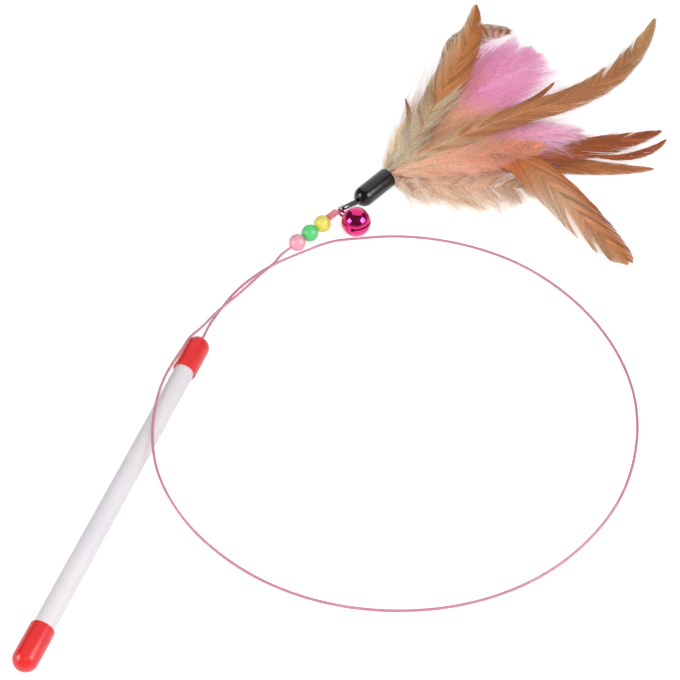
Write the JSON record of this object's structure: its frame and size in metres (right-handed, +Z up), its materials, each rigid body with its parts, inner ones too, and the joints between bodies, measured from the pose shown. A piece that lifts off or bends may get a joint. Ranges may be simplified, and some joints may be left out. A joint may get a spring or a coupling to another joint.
{
  "type": "cat teaser wand",
  "caption": "Cat teaser wand: capped tube handle, looped coated wire with beads and a jingle bell, and a feather lure on a short black loop.",
  "frame": {"origin": "on the handle's axis at the middle of the butt cap's straight wall, 5.25 mm above the surface that the wand lies on", "axes": "+Y along the handle towards the wire end, +Z up from the surface, +X to the side that the wire loop lies on"},
  "size_m": [0.2026, 0.4454, 0.0276],
  "materials": {
    "red_vinyl": "glossy",
    "white_tube": "translucent satin",
    "pink_wire": "satin plastic coat on steel wire",
    "bare_steel": "satin",
    "sleeve_pink": "translucent",
    "bead_pink": "glossy",
    "bead_green": "glossy",
    "bead_yellow": "glossy",
    "bell_magenta": "magenta plated",
    "pellet_steel": "plain",
    "black_plastic": "glossy",
    "glue": "cured glue",
    "feather_dark": "dark brown feather",
    "feather_barred": "barred brown feather",
    "feather_ginger": "ginger feather",
    "feather_chestnut": "chestnut feather",
    "plume_pink": "dyed pink marabou",
    "plume_cream": "cream marabou",
    "plume_beige": "beige marabou",
    "plume_salmon": "salmon marabou"
  },
  "bodies": {
    "wand": {"handle_tube": "white_tube", "butt_cap": "red_vinyl", "top_cap": "red_vinyl", "wire_anchor": "pink_wire", "wire": "pink_wire", "wire_tip": "pink_wire", "wire_tail": "pink_wire", "wire_eye": "bare_steel", "crimp_sleeve": "sleeve_pink"},
    "pink_bead": {"bead_pink": "bead_pink"},
    "green_bead": {"bead_green": "bead_green"},
    "yellow_bead": {"bead_yellow": "bead_yellow"},
    "bell": {"bell_upper": "bell_magenta", "bell_lower": "bell_magenta", "bell_staple": "bell_magenta"},
    "pellet": {"bell_pellet": "pellet_steel"},
    "lure": {"lure_loop": "black_plastic", "feather_cap": "black_plastic", "glue_plug": "glue", "feather_spike": "feather_dark", "feather_barred": "feather_barred", "feather_ginger": "feather_ginger", "plume_pink": "plume_pink", "plume_beige": "plume_beige", "plume_cream": "plume_cream", "feather_chestnut": "feather_chestnut", "feather_upright": "feather_ginger", "plume_rose": "plume_pink", "feather_thin": "feather_ginger", "feather_leaf": "feather_ginger", "feather_long": "feather_ginger", "plume_salmon": "plume_salmon"}
  },
  "joints": [
    {"name": "pink_bead_spin", "type": "hinge", "parent": "wand", "child": "pink_bead", "pos_m": [0.01801, 0.23996, -0.00121], "axis": [0.4385, 0.8951, 0.0802], "continuous": true},
    {"name": "green_bead_spin", "type": "hinge", "parent": "wand", "child": "green_bead", "pos_m": [0.02157, 0.24723, -0.00056], "axis": [0.4385, 0.8951, 0.0802], "continuous": true},
    {"name": "yellow_bead_spin", "type": "hinge", "parent": "wand", "child": "yellow_bead", "pos_m": [0.02513, 0.2545, 0.00009], "axis": [0.4385, 0.8951, 0.0802], "continuous": true},
    {"name": "bell_swing", "type": "hinge", "parent": "wand", "child": "bell", "pos_m": [0.03051, 0.26547, -0.00102], "axis": [0.4399, 0.898, 0], "range_deg": [-38, 0]},
    {"name": "pellet_rattle", "type": "slide", "parent": "bell", "child": "pellet", "axis": [0, 0, 1], "range_m": [0, 0.0087]},
    {"name": "lure_swing", "type": "hinge", "parent": "wand", "child": "lure", "pos_m": [0.03051, 0.26547, 0.00108], "axis": [0.898, -0.4399, 0], "range_deg": [-15, 95]}
  ]
}
